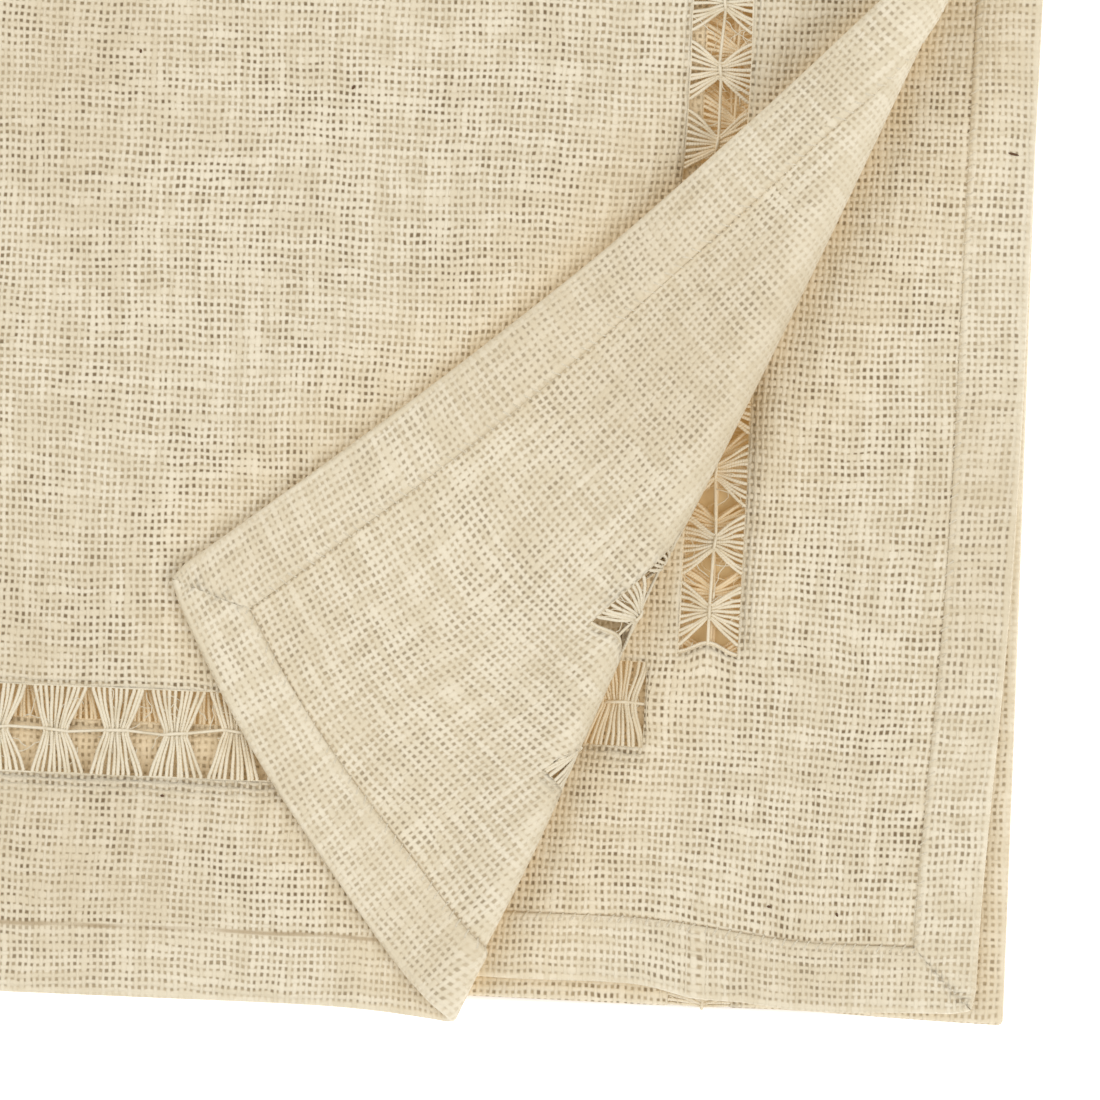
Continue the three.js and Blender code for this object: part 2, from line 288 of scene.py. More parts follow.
def turn_hem(run, depth):
    """How far in from the finished edge, and how far behind the cloth, the hem lies after run mm."""
    roll = math.pi * HEM_ROLL
    flat = depth - EDGE - HEM_ROLL - HEM_CURL
    turn = np.clip(run / HEM_ROLL, 0, math.pi)
    curl = np.clip((run - roll - flat) / HEM_CURL, 0, math.pi / 2)
    inward = HEM_ROLL * (1 - np.sin(turn)) - np.minimum(run, 0) + np.clip(run - roll, 0, flat)
    behind = HEM_ROLL * (1 - np.cos(turn)) - HEM_CURL * (1 - np.cos(curl))
    return inward + HEM_CURL * np.sin(curl), behind


def turn_hems(u, s):
    """The finished place and the depth behind the cloth of a point of the panel as it was cut."""
    side_in, side_behind = turn_hem(np.abs(u) - WIDTH / 2 + EDGE + HEM_ROLL, SIDE_HEM)
    top_in, top_behind = turn_hem(EDGE + HEM_ROLL - s, TOP_HEM)
    second_in, second_behind = turn_hem(s - LENGTH + EDGE + HEM_ROLL, SECOND_HEM)
    finished_s = np.where(s < LENGTH / 2, EDGE + top_in, LENGTH - EDGE - second_in)
    behind = np.maximum(side_behind, np.maximum(top_behind, second_behind))
    return np.sign(u) * (WIDTH / 2 - EDGE - side_in), finished_s, behind


def round_corners(u, s):
    """The finished corners are soft: each is drawn in to a rounded one."""
    side_in = CORNER_ROUND - (WIDTH / 2 - EDGE - np.abs(u))
    end_in = CORNER_ROUND - np.minimum(s - EDGE, LENGTH - EDGE - s)
    near = (side_in > 0) & (end_in > 0)
    far_way = np.hypot(side_in, end_in)
    share = np.where(near, 1 - np.maximum(side_in, end_in) / np.where(near, far_way, 1), 0)
    u = u - np.sign(u) * share * side_in
    return u, s + np.where(s < LENGTH / 2, 1, -1) * share * end_in


def draw_in_band_ends(u, s):
    """The last bundle of each band pulls the cloth at the band's end towards it."""
    width = SIDE_BAND["outer"] - SIDE_BAND["inner"]
    off_middle = np.abs(np.abs(u) - SIDE_BAND["inner"] - width / 2) / (width / 2)
    bow = np.cos(np.clip(off_middle, 0, 1) * math.pi / 2) ** 2 * END_PULL
    before, after = SIDE_BAND["start"] - s, s - SIDE_BAND["end"]
    s = s + np.where(before >= 0, bow * np.exp(-before / END_PULL_FADE), 0)
    s = s - np.where(after >= 0, bow * np.exp(-after / END_PULL_FADE), 0)
    for band in END_BANDS:
        middle, half = (band["near"] + band["far"]) / 2, (band["far"] - band["near"]) / 2
        bow = np.cos(np.clip(np.abs(s - middle) / half, 0, 1) * math.pi / 2) ** 2 * END_PULL
        before, after = band["left"] - u, u - band["right"]
        u = u + np.where(before >= 0, bow * np.exp(-before / END_PULL_FADE), 0)
        u = u - np.where(after >= 0, bow * np.exp(-after / END_PULL_FADE), 0)
    return u, s


def steps(start, end, count):
    return [start + (end - start) * step / count for step in range(count + 1)]


def cut_lines(fixed, longest):
    """The fixed lines with even lines between them, each gap no longer than longest at its place."""
    lines = []
    fixed = sorted(fixed)
    for start, end in zip(fixed, fixed[1:]):
        if end - start > 0.01:
            count = math.ceil((end - start) / longest((start + end) / 2) - 0.01)
            lines += steps(start, end, count)[:-1]
    return lines + [fixed[-1]]


def hem_bends(depth):
    """How far past the finished edge the cut cloth bends: round the hem's roll, and at its tuck."""
    roll, curl, whole = math.pi * HEM_ROLL, math.pi / 2 * HEM_CURL, hem_length(depth)
    return [run - HEM_ROLL for run in steps(0, roll, 4) + steps(whole - curl, whole, 3)]


def panel_mesh():
    side_bends = [WIDTH / 2 - EDGE + run for run in hem_bends(SIDE_HEM)]
    side_lines = side_bends + [WIDTH / 2 - SIDE_HEM, SIDE_BAND["inner"], SIDE_BAND["outer"]]
    across = side_lines + [-line for line in side_lines]
    across += [band[side] for band in END_BANDS for side in ("left", "right")]
    across += [PUCKER["u"] - FINE_NEAR["pucker"], PUCKER["u"] + FINE_NEAR["pucker"]]
    along = [EDGE - run for run in hem_bends(TOP_HEM)]
    along += [LENGTH - EDGE + run for run in hem_bends(SECOND_HEM)]
    along += [TOP_HEM, LENGTH - SECOND_HEM, SIDE_BAND["start"], SIDE_BAND["end"]]
    along += [band[edge] for band in END_BANDS for edge in ("near", "far")]
    for stretch in SECTION:
        count = FOLD_STEPS if "next" in stretch else 1
        along += steps(stretch["start"], stretch["start"] + stretch["length"], count)
    along = [line for line in along if abs(line) > 0.1 and abs(line - LENGTH) > 0.1]

    def across_grain(u):
        if abs(u - PUCKER["u"]) < FINE_NEAR["pucker"]:
            return PUCKER["half_width"] / 2
        in_band = SIDE_BAND["inner"] < abs(u) < SIDE_BAND["outer"]
        near_end = abs(abs(u) - END_BAND_REACH) < FINE_NEAR["end band"]
        return SMALL_GRAIN if in_band or near_end else GRAIN

    def along_grain(s):
        to_end = min(abs(s - SIDE_BAND["start"]), abs(s - SIDE_BAND["end"]))
        near_end = to_end < FINE_NEAR["side band"]
        in_band = any(band["near"] < s < band["far"] for band in END_BANDS)
        return SMALL_GRAIN if near_end or in_band else GRAIN

    across, along = cut_lines(across, across_grain), cut_lines(along, along_grain)
    mesh = bmesh.new()
    columns, rows = len(across) - 1, len(along) - 1
    bmesh.ops.create_grid(mesh, x_segments=columns, y_segments=rows, size=1)
    for vert in mesh.verts:
        column = round((vert.co.x + 1) / 2 * columns)
        row = round((vert.co.y + 1) / 2 * rows)
        vert.co = (across[column], along[row], 0)
    return mesh


def cut(mesh, faces, point, direction):
    """Cuts the faces along a line through a point, unless a corner already lies on it."""
    edges = {edge for face in faces for edge in face.edges}
    verts = {vert for face in faces for vert in face.verts}
    normal = (-direction[1], direction[0], 0)
    geometry = list(verts) + list(edges) + list(faces)
    bmesh.ops.bisect_plane(
        mesh, geom=geometry, dist=SAME_PLACE, plane_co=(*point, 0), plane_no=normal
    )


def cut_mitres(mesh):
    """Cuts each corner of the panel away, so that its two hems meet on a slanting line."""
    fold = (math.pi - 2) * HEM_ROLL + MITRE_GAP
    edge = WIDTH / 2 - EDGE
    for side in (-1, 1):
        for end, way, hem in ((EDGE, -1, TOP_HEM), (LENGTH - EDGE, 1, SECOND_HEM)):
            slope = hem / SIDE_HEM

            def beyond(face, side=side, end=end, way=way):
                place = face.calc_center_median()
                return side * place.x - edge, way * (place.y - end)

            def near_corner(beyond=beyond, hem=hem):
                reach = {"over": -SIDE_HEM - GRAIN, "out": -hem - GRAIN}
                near = []
                for face in mesh.faces:
                    over, out = beyond(face)
                    if max(over, out) > 0 and over > reach["over"] and out > reach["out"]:
                        near.append(face)
                return near

            cut(mesh, near_corner(), (side * (edge + fold), end), (side, -way * slope))
            cut(mesh, near_corner(), (side * edge, end + way * fold), (-side, way * slope))
            gone = []
            for face in near_corner():
                over, out = beyond(face)
                in_side_hem = over > 0 and -out > (over - fold) * slope
                in_end_hem = out > 0 and -over > (out - fold) / slope
                if not in_side_hem and not in_end_hem:
                    gone.append(face)
            bmesh.ops.delete(mesh, geom=gone, context="FACES")


CUT_REACH, ROLL_REACH = 290, 300


def cut_turn(mesh):
    """Cuts the panel where its corner rolls over, so that the roll comes out round."""
    # On a hem, which lies folded back over the cloth, the cuts are mirrored.
    back = EDGE - (math.pi / 2 - 1) * HEM_ROLL
    settled = TURN_OVER + TURN_SLIDE + TURN_SETTLE * (TURN_OVER - math.pi)
    radii = [*steps(-0.15, TURN_OVER + 1, TURN_STEPS), TURN_OVER + TURN_SLIDE, settled]
    for radius in radii:
        ends = []
        for along in (0, CUT_REACH):
            x, y = TURN_FOOT + TURN_ALONG * along + TURN_ACROSS * radius * turn_radius(along)
            s = y - TOP_END_Y
            share = NARROWING["width"] * smooth(NARROWING["from"], NARROWING["to"], s)
            ends.append(np.array([(x + share / 2) / (1 - share / WIDTH), s]))
        start, way = ends[0], ends[1] - ends[0]
        parts = {"cloth": [], "end hem": [], "side hem": []}
        for face in mesh.faces:
            place = face.calc_center_median()
            if place.y >= CUT_REACH or place.x <= 0:
                continue
            part = "cloth"
            if place.y < back:
                part = "end hem"
            elif place.x > WIDTH / 2 - back:
                part = "side hem"
            parts[part].append(face)
        cut(mesh, parts["cloth"], start, way)
        cut(mesh, parts["end hem"], (start[0], 2 * back - start[1]), (way[0], -way[1]))
        cut(mesh, parts["side hem"], (WIDTH - 2 * back - start[0], start[1]), (-way[0], way[1]))


def in_a_band(u, s):
    """Whether threads are drawn out of the cloth at a place."""
    in_side = SIDE_BAND["inner"] < abs(u) < SIDE_BAND["outer"]
    if in_side and SIDE_BAND["start"] < s < SIDE_BAND["end"]:
        return True
    for band in END_BANDS:
        if band["left"] < u < band["right"] and band["near"] < s < band["far"]:
            return True
    return False


def open_bands(mesh):
    gone = [face for face in mesh.faces if in_a_band(*face.calc_center_median().xy)]
    bmesh.ops.delete(mesh, geom=gone, context="FACES")


def turn_angle(u, s):
    """How far round the roll a place lies, in radians. It keeps growing on the flap past the roll."""
    along, beyond = from_turn(top_layer_x(u, s), s + TOP_END_Y)
    return beyond / turn_radius(along) * (s < ROLL_REACH)


def on_roll(u, s):
    """Where the cloth lies on the outside of the roll, whose bend closes the weave."""
    angle = turn_angle(u, s)
    return smooth(0.9, 1.7, angle) * (1 - 0.75 * smooth(2.4, 3.3, angle))


def on_flap(u, s):
    """Where the corner lies turned over."""
    return smooth(1.2, 2.2, turn_angle(u, s))


# The free side edge of the turned corner runs up to this s. Where a layer lies over a place, it gets
# painted shade and a painted glow by these shares, and less near the rim, where light comes in from
# beside.
FLAP_SIDE_END = 261
UNDER_TOP, UNDER_SECOND, RIM_LIGHT = 0.38, 0.5, 0.4


def covered(places):
    """How far other layers lie over each place, given in metres: there the cloth is painted warm and
    dim, and given a painted glow.
    """
    x, y, z = (np.asarray(places) / MM + FRAME_SHIFT).T
    along, beyond = from_turn(x, y)
    radius = turn_radius(along)
    heights = {layer: layer_height(layer, x, y) for layer in LAYERS}
    above_second = (z - heights["second"]) / (heights["top"] - heights["second"])
    above_third = (z - heights["third"]) / (heights["second"] - heights["third"])
    # The second layer gets painted shade up to the roll, and a weaker painted shadow of the roll for a
    # few cm beyond it.
    beside_roll = 1 - smooth(radius, radius + 9, beyond)
    beside_roll = np.maximum(beside_roll, 0.3 * (1 - smooth(radius + 4, radius + 36, beyond)))
    under_top = (1 - smooth(0.2, 1.0, above_second)) * beside_roll
    under_second = 1 - smooth(0.2, 0.8, above_third)
    rim = smooth(WIDTH / 2 - 12, WIDTH / 2 - 3, np.abs(x))
    rim = np.maximum(rim, smooth(BOTTOM_FOLD_Y + 8, BOTTOM_FOLD_Y + 1, y))
    # The top layer gets painted shade where the turned corner lies on it, between the flap's two edges,
    # and a weaker painted shadow in a strip about 2 cm wide outside them.
    flap_u, flap_s = np.array([WIDTH / 2, WIDTH / 2]), np.array([0.0, FLAP_SIDE_END])
    corner, head = middle_of_cloth(flap_u, flap_s)[:, :2]
    under_flap = (1 - smooth(radius * 0.6, radius, beyond)) * (1 - smooth(0.9, 1.6, z - heights["top"]))
    for end, side in ((TURN_FOOT, 1), (head, -1)):
        way = (end - corner) / np.linalg.norm(end - corner)
        inside = side * (way[0] * (y - corner[1]) - way[1] * (x - corner[0]))
        under_flap = under_flap * (0.25 * smooth(-22, -2, inside) + 0.75 * smooth(1, 8, inside))
    under_top = np.maximum(under_top, under_flap) * UNDER_TOP
    return np.maximum(under_top, under_second * (UNDER_SECOND - RIM_LIGHT * rim))


def note_on(data, name, values):
    data.attributes.new(name, "FLOAT", "POINT").data.foreach_set("value", values)


def add_object(name, data):
    made = bpy.data.objects.new(name, data)
    bpy.context.scene.collection.objects.link(made)
    return made


def cloth_panel():
    shape = panel_mesh()
    cut_mitres(shape)
    cut_turn(shape)
    open_bands(shape)
    loose = [vert for vert in shape.verts if not vert.link_faces]
    bmesh.ops.delete(shape, geom=loose, context="VERTS")
    flat_map = shape.loops.layers.uv.new("flat")
    for face in shape.faces:
        face.smooth = True
        for loop in face.loops:
            loop[flat_map].uv = (loop.vert.co.x * MM, loop.vert.co.y * MM)
    cut_u = np.array([vert.co.x for vert in shape.verts])
    cut_s = np.array([vert.co.y for vert in shape.verts])
    u, s, behind = turn_hems(cut_u, cut_s)
    u, s = round_corners(*draw_in_band_ends(u, s))
    places = lay(u, s, -behind)
    for vert, place in zip(shape.verts, places):
        vert.co = place
    data = bpy.data.meshes.new("cloth_panel")
    shape.to_mesh(data)
    shape.free()
    note_on(data, "roll", on_roll(u, s))
    note_on(data, "turned", on_flap(u, s))
    note_on(data, "covered", covered(places))
    piece = add_object("cloth_panel", data)
    ply = piece.modifiers.new("ply", "SOLIDIFY")
    ply.thickness = THICKNESS * MM
    ply.offset = 0
    return piece


class Field:
    """A number, vector or colour that changes over a surface, held as the socket that gives it."""

    def __init__(self, tree, socket=None):
        self.tree, self.socket = tree, socket

    def node(self, kind, settings=None, inputs=None, out=0):
        made = self.tree.nodes.new("ShaderNode" + kind)
        for name, value in (settings or {}).items():
            if name == "stops":
                ramp = made.color_ramp.elements
                while len(ramp) < len(value):
                    ramp.new(1)
                for stop, (place, colour) in zip(ramp, value):
                    stop.position, stop.color = place, colour
            else:
                setattr(made, name, value)
        for name, value in (inputs or {}).items():
            if isinstance(value, Field):
                self.tree.links.new(value.socket, made.inputs[name])
            else:
                made.inputs[name].default_value = value
        return Field(self.tree, made.outputs[out])

    def maths(self, operation, *values):
        return self.node("Math", {"operation": operation}, dict(enumerate(values)))

    def __add__(self, other):
        return self.maths("ADD", self, other)

    def __sub__(self, other):
        return self.maths("SUBTRACT", self, other)

    def __mul__(self, other):
        return self.maths("MULTIPLY", self, other)

    def __truediv__(self, other):
        return self.maths("DIVIDE", self, other)

    def __radd__(self, other):
        return self.maths("ADD", other, self)

    def __rsub__(self, other):
        return self.maths("SUBTRACT", other, self)

    def __rmul__(self, other):
        return self.maths("MULTIPLY", other, self)

    def __abs__(self):
        return self.maths("ABSOLUTE", self)

    def floor(self):
        return self.maths("FLOOR", self)

    def cos(self):
        return self.maths("COSINE", self)

    def least(self, other):
        return self.maths("MINIMUM", self, other)

    def most(self, other):
        return self.maths("MAXIMUM", self, other)

    def ramp(self, start, end):
        """Rises smoothly from 0 to 1 as this goes from start to end."""
        settings = {"interpolation_type": "SMOOTHSTEP"}
        return self.node("MapRange", settings, {"Value": self, "From Min": start, "From Max": end})

    def mixed(self, first, second):
        """The first colour where this is 0, the second where it is 1."""
        settings = {"data_type": "RGBA"}
        return self.node("Mix", settings, {"Factor": self, 6: first, 7: second}, out=2)

    def other(self, out):
        """Another output of the node that gives this field."""
        return Field(self.tree, self.socket.node.outputs[out])

    def feed(self, shader, name):
        self.tree.links.new(self.socket, shader.inputs[name])


def vector(x, y):
    return x.node("CombineXYZ", inputs={"X": x, "Y": y})


def noise(place, scale, detail=0.0, roughness=0.5):
    """Soft noise over a plane, from 0 to 1 with a mean of about a half."""
    settings = {"noise_dimensions": "2D"}
    inputs = {"Vector": place, "Scale": scale, "Detail": detail, "Roughness": roughness}
    return place.node("TexNoise", settings, inputs)


def parts_of(place):
    made = place.node("SeparateXYZ", inputs={"Vector": place})
    return made, made.other(1)


def attribute(field, name):
    return field.node("Attribute", {"attribute_name": name}, out=2)


WARP_PITCH, WEFT_PITCH = 1.5, 1.72
CREAM = (0.76, 0.675, 0.505, 1)
PALE_CREAM = (0.845, 0.77, 0.61, 1)
WARM_CREAM = (0.66, 0.55, 0.375, 1)
PAINTED_SHADE_TAN = (0.72, 0.57, 0.36, 1)
PAINTED_GLOW = (0.25, 0.165, 0.07, 1)
CREASE_SHADE_TAN = (0.42, 0.31, 0.18, 1)
HOLE_SHADE_BROWN = (0.23, 0.165, 0.092, 1)
HOLE_SHADE_TAN = (0.44, 0.34, 0.205, 1)


def new_material(name):
    material = bpy.data.materials.new(name)
    material.use_nodes = True
    shader = material.node_tree.nodes["Principled BSDF"]
    shader.inputs["Roughness"].default_value = 0.92
    shader.inputs["Sheen Weight"].default_value = 0.12
    shader.inputs["Sheen Roughness"].default_value = 0.5
    shader.inputs["Specular IOR Level"].default_value = 0.25
    material.cycles.emission_sampling = "NONE"
    return material, Field(material.node_tree), shader


def paint_glow_under_layers(under, shader):
    """A painted glow stands in for light that comes through the loose layers above a place, and leaves
    it a warm tan, not dark.
    """
    glow = under.mixed((0, 0, 0, 1), PAINTED_GLOW)
    glow.feed(shader, "Emission Color")
    shader.inputs["Emission Strength"].default_value = 1


def hem_lines(u, s):
    """How far in from the edges, past the hems' inner lines and off the hems' folds places lie."""
    side_in = WIDTH / 2 - abs(u)
    end_in = s.least(LENGTH - s)
    past_side = side_in - SIDE_HEM
    past_end = (s - TOP_HEM).least(LENGTH - s - SECOND_HEM)
    side_fold = side_in + hem_length(SIDE_HEM) - EDGE - HEM_ROLL
    end_fold = end_in + hem_length(SECOND_HEM) - EDGE - HEM_ROLL
    return side_in, end_in, past_side, past_end, side_fold.least(end_fold)


def woven_cotton():
    """Plain weave of slubby yarns that pass over and under each other, with holes between them."""
    material, weave, shader = new_material("woven_cotton")
    flat = weave.node("UVMap", {"uv_map": "flat"})
    u, s = parts_of(flat)
    u, s = u / MM, s / MM
    # Each yarn has a number, and all of them wander a little.
    slow_u, slow_s = parts_of(noise(flat, 24).other("Color"))
    quick_u, quick_s = parts_of(noise(flat, 190).other("Color"))
    warp = u / WARP_PITCH + (slow_u - 0.5) * 1.5 + (quick_u - 0.5) * 0.36
    weft = s / WEFT_PITCH + (slow_s - 0.5) * 1.5 + (quick_s - 0.5) * 0.36
    warp_yarn, weft_yarn = warp.floor(), weft.floor()
    warp_off, weft_off = abs(warp - warp_yarn - 0.5), abs(weft - weft_yarn - 0.5)

    # The weave is closed at folds and on the roll, and tighter where the hem lies double.
    side_in, end_in, past_side, past_end, fold_in = hem_lines(u, s)
    past_hem = past_side.least(past_end)
    doubled = 1 - past_hem.ramp(-0.5, 0.5)
    line_band = past_side.ramp(-2.9, -2.1) * (1 - past_side.ramp(-0.4, 0.4))
    line_band = line_band.most(past_end.ramp(-1.9, -1.2) * (1 - past_end.ramp(-0.4, 0.4)) * 0.6)
    rim = 1 - abs(side_in.least(end_in) - 0.2).ramp(0.8, 2.0)
    own_fold = 1 - fold_in.ramp(0.6, 2.4)
    closed = rim.most(own_fold * 0.9).most(attribute(weave, "roll") * 0.9)
    open_weave = (1 - doubled * 0.2) * (1 - line_band * 0.6) * (1 - closed)

    def yarn_width(yarn, along, seed):
        slubs = noise(vector(yarn * 7.31 + seed, along * 0.14), 1.0, 1.0, 0.75)
        return 0.262 + (slubs - 0.5) * 0.24 + slubs.ramp(0.62, 0.72) * 0.08

    warp_width, weft_width = yarn_width(warp_yarn, weft, 3.1), yarn_width(weft_yarn, warp, 40.7)
    # Between four yarns there is a hole, more open in some patches than in others.
    hole_number = vector((warp + 0.5).floor(), (weft + 0.5).floor())
    chance = hole_number.node("TexWhiteNoise", {"noise_dimensions": "2D"}, {"Vector": hole_number})
    other_chance, _ = parts_of(chance.other("Color"))
    wider = (other_chance - 0.5) * 0.06
    warp_gap = (warp_off - warp_width + wider).ramp(-0.1, 0.15)
    weft_gap = (weft_off - weft_width + wider).ramp(-0.1, 0.15)
    patch = noise(flat, 60)
    warp_tint = noise(vector(warp_yarn * 5.3, weft * 0.06), 1.0)
    weft_tint = noise(vector(weft_yarn * 5.3 + 17, warp * 0.06), 1.0)
    hole_strength = chance * 0.6 + patch * 0.7 + (warp_tint + weft_tint) * 0.35 - 0.5
    hole_strength = (hole_strength.ramp(-0.7, 0.8) * 0.8 + 0.2) * open_weave
    # On the turned corner the holes are painted a fifth lighter.
    hole_strength = hole_strength * (1 - attribute(weave, "turned") * 0.2)
    # The yarns are cream, each a little paler or warmer than the next, with painted shade where they
    # dip.
    tint = noise(vector(warp * 0.25, weft * 0.25), 1.0)
    pale = (tint * 0.5 + warp_tint * 0.75 + weft_tint * 0.75).ramp(0.68, 1.32)
    yarn = pale.mixed(CREAM, PALE_CREAM)
    warmth = noise(flat, 11)
    yarn = (warmth.ramp(0.45, 0.75) * 0.3).mixed(yarn, WARM_CREAM)
    warp_up = (warp_yarn * math.pi).cos() * ((weft - 0.5) * math.pi).cos()
    weft_up = (weft_yarn * math.pi).cos() * ((warp - 0.5) * math.pi).cos()
    warp_round = 1 - (warp_off / warp_width) * (warp_off / warp_width)
    weft_round = 1 - (weft_off / weft_width) * (weft_off / weft_width)
    warp_height = warp_up * 0.45 + warp_round.most(-1.5) * 0.55
    weft_height = weft_round.most(-1.5) * 0.55 - weft_up * 0.45
    height = warp_height.most(weft_height).most(-0.9)
    shade = (1 - height.ramp(-0.6, 0.6)) * (0.45 + open_weave * 0.35)
    yarn = shade.mixed(yarn, WARM_CREAM)
    # Where other layers lie over the cloth, its yarns are painted a warm tan shade, and it gets a
    # painted glow.
    under = attribute(weave, "covered")
    yarn = (under * 1.3).least(0.6).mixed(yarn, PAINTED_SHADE_TAN)
    # The holes are not cut through: each is painted tan to brown, the shade of the layer beneath.
    hole_depth = (chance * 0.5 + patch * 0.7 + weft_tint * 0.3).ramp(0.62, 1.12)
    painted_hole_shade = hole_depth.mixed(HOLE_SHADE_TAN, HOLE_SHADE_BROWN)
    colour = (warp_gap * weft_gap * hole_strength).mixed(yarn, painted_hole_shade)
    # The hem's inner edge and the mitres show as soft creases: grooves in the bump, with painted shade
    # in them.
    waver = noise(flat, 70)
    crease_off = past_end - 0.35 + (waver - 0.5) * 0.9
    crease = (1 - abs(crease_off).ramp(0.15, 0.75)) * past_side.ramp(-0.3, 0.3)
    crease = crease * (waver.ramp(0.3, 0.6) * 0.7 + 0.3)
    in_corner = 1 - past_side.most(past_end).ramp(-0.4, 0.2)
    mitre_off = side_in * (SECOND_HEM / SIDE_HEM) - end_in + (waver - 0.5) * 1.2
    mitre = (1 - abs(mitre_off).ramp(0.1, 0.55)) * in_corner * (1 - rim)
    groove = crease.most(mitre * 0.35)
    colour = (groove * 0.7).mixed(colour, CREASE_SHADE_TAN)
    fibres = noise(flat, 2600)
    relief = height * (0.45 + open_weave * 0.55) + fibres * 0.35 - groove * 0.4
    bump = relief.node("Bump", inputs={"Strength": 0.55, "Distance": 0.00045, "Height": relief})
    colour.feed(shader, "Base Color")
    bump.feed(shader, "Normal")
    paint_glow_under_layers(under, shader)
    return material


def finish_piece(piece, material):
    piece.data.materials.append(material)
    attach(piece, "root")


panel = cloth_panel()
finish_piece(panel, woven_cotton())
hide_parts("runner_cloth")

# The threads that cross each band are gathered ten at a time into bundles, tight at the waist and
# fanned out to both edges, where they go back into the cloth. A tie thread runs from waist to
# waist and winds round each, and a whole yarn of the cloth lies along either edge of the band.
THREAD, TIE_THREAD, EDGE_YARN = 0.84, 0.76, 0.86
STRANDS = 10
SIDE_PITCH, END_PITCH, END_LEAN = 16.07, 14.1, 2
HALF_WAISTS = {"side": 1.3, "end": 2.6}
FAN, LOOSE_FOOT = 0.48, 0.38
STRAND_LIFT = 0.3
END_MARGIN = 1.2
EDGE_STEP, EDGE_SWAY = 5, 0.12
TIE_STEPS, TIE_RISE, TIE_GROWTH, TIE_END = 12, 0.85, 0.014, 1.5
# A thread's points, as shares of the way across its band.
CROSSING = (-0.07, 0.04, 0.15, 0.27, 0.38, 0.46, 0.54, 0.62, 0.73, 0.85, 0.96, 1.07)
draw = random.Random(5)


def bands():
    """Each band with its kind, length and width, and where a point along and across it lies."""
    length = SIDE_BAND["end"] - SIDE_BAND["start"]
    width = SIDE_BAND["outer"] - SIDE_BAND["inner"]
    for name, side in (("left", -1), ("right", 1)):

        def on_side(along, across, side=side):
            return side * (SIDE_BAND["inner"] + across * width), SIDE_BAND["start"] + along

        band = {"name": f"side_band_{name}", "kind": "side", "length": length, "width": width}
        yield {**band, "place": on_side}
    for band in END_BANDS:

        def on_end(along, across, band=band):
            return band["left"] + along, band["near"] + across * (band["far"] - band["near"])

        length, width = band["right"] - band["left"], band["far"] - band["near"]
        name = f"end_band_{band['name']}"
        yield {"name": name, "kind": "end", "length": length, "width": width, "place": on_end}


def threads(name, paths, diameter):
    """Round threads along paths of (u, s, above, thickness) points, laid in the cloth's folds."""
    points = [point for path in paths for point in path]
    u, s, above, share = np.array(points).T
    places = lay(u, s, above)
    places[:, 2] = np.maximum(places[:, 2], diameter / 2 * share * MM)
    curve = bpy.data.curves.new(name, "CURVE")
    curve.dimensions = "3D"
    curve.bevel_depth = diameter / 2 * MM
    curve.bevel_resolution = 1
    curve.use_fill_caps = True
    start = 0
    for path in paths:
        spline = curve.splines.new("POLY")
        spline.points.add(len(path) - 1)
        end = start + len(path)
        spline.points.foreach_set("co", np.c_[places[start:end], np.ones(len(path))].ravel())
        spline.points.foreach_set("radius", share[start:end])
        start = end
    drawn = add_object(name, curve)
    finished = drawn.evaluated_get(bpy.context.evaluated_depsgraph_get())
    data = bpy.data.meshes.new_from_object(finished)
    bpy.data.objects.remove(drawn)
    closed = bmesh.new()
    closed.from_mesh(data)
    bmesh.ops.remove_doubles(closed, verts=closed.verts, dist=1e-6)
    for face in closed.faces:
        face.smooth = True
    closed.to_mesh(data)
    closed.free()
    note_on(data, "covered", covered([vert.co for vert in data.vertices]))
    data.name = name
    return add_object(name, data)


def band_waists(band):
    """Where each bundle's waist lies along and across its band. The cloth's unevenness shifts them."""
    pitch = SIDE_PITCH if band["kind"] == "side" else END_PITCH
    count = round((band["length"] - 2 * END_MARGIN) / pitch)
    pitch = (band["length"] - 2 * END_MARGIN) / count
    waists = []
    for number in range(count):
        middle = END_MARGIN + (number + 0.5) * pitch
        lean = {0: -END_LEAN, count - 1: END_LEAN}.get(number, 0) * (band["kind"] == "end")
        waist = middle + lean + draw.uniform(-0.8, 0.8)
        waists.append((middle, waist, 0.5 + draw.uniform(-0.05, 0.05)))
    return pitch, waists


def bundle_paths(band, pitch, waists):
    paths = []
    for middle, waist, waist_across in waists:
        half_waist = HALF_WAISTS[band["kind"]] * draw.uniform(0.85, 1.2)
        for strand in range(STRANDS):
            share = (strand - (STRANDS - 1) / 2) / (STRANDS / 2)
            near = middle + share * pitch * FAN + draw.uniform(-LOOSE_FOOT, LOOSE_FOOT)
            far = middle + share * pitch * FAN + draw.uniform(-LOOSE_FOOT, LOOSE_FOOT)
            height = STRAND_LIFT * (1 if strand % 2 else -1) * (1 - share * share) + 0.1
            wave, turn = draw.uniform(0.08, 0.38), draw.uniform(0, 6.28)
            path = []
            for across in CROSSING:
                reach = 1 - waist_across if across > waist_across else waist_across
                out = (across - waist_across) / reach
                away = min(abs(out), 1)
                spread = 0.75 * away + 0.25 * math.sin(away * math.pi / 2)
                edge = far if out > 0 else near
                along = waist + share * half_waist + (edge - waist - share * half_waist) * spread
                along += wave * math.sin(9 * across + turn) * away * (1 - away) * 3
                u, s = band["place"](along, across)
                path.append((u, s, height * (1 - away), 0.86 + 0.16 * away + draw.uniform(-0.07, 0.07)))
            paths.append(path)
    for end, way in ((0, 1), (band["length"], -1)):
        for number in (0, 1):
            path = []
            for across in CROSSING:
                bow = END_PULL * math.sin(math.pi * min(max(across, 0), 1)) ** 2
                u, s = band["place"](end + way * (0.7 * number - 0.1 + bow), across)
                path.append((u, s, 0.15 + 0.15 * number, 1.05))
            paths.append(path)
    return paths


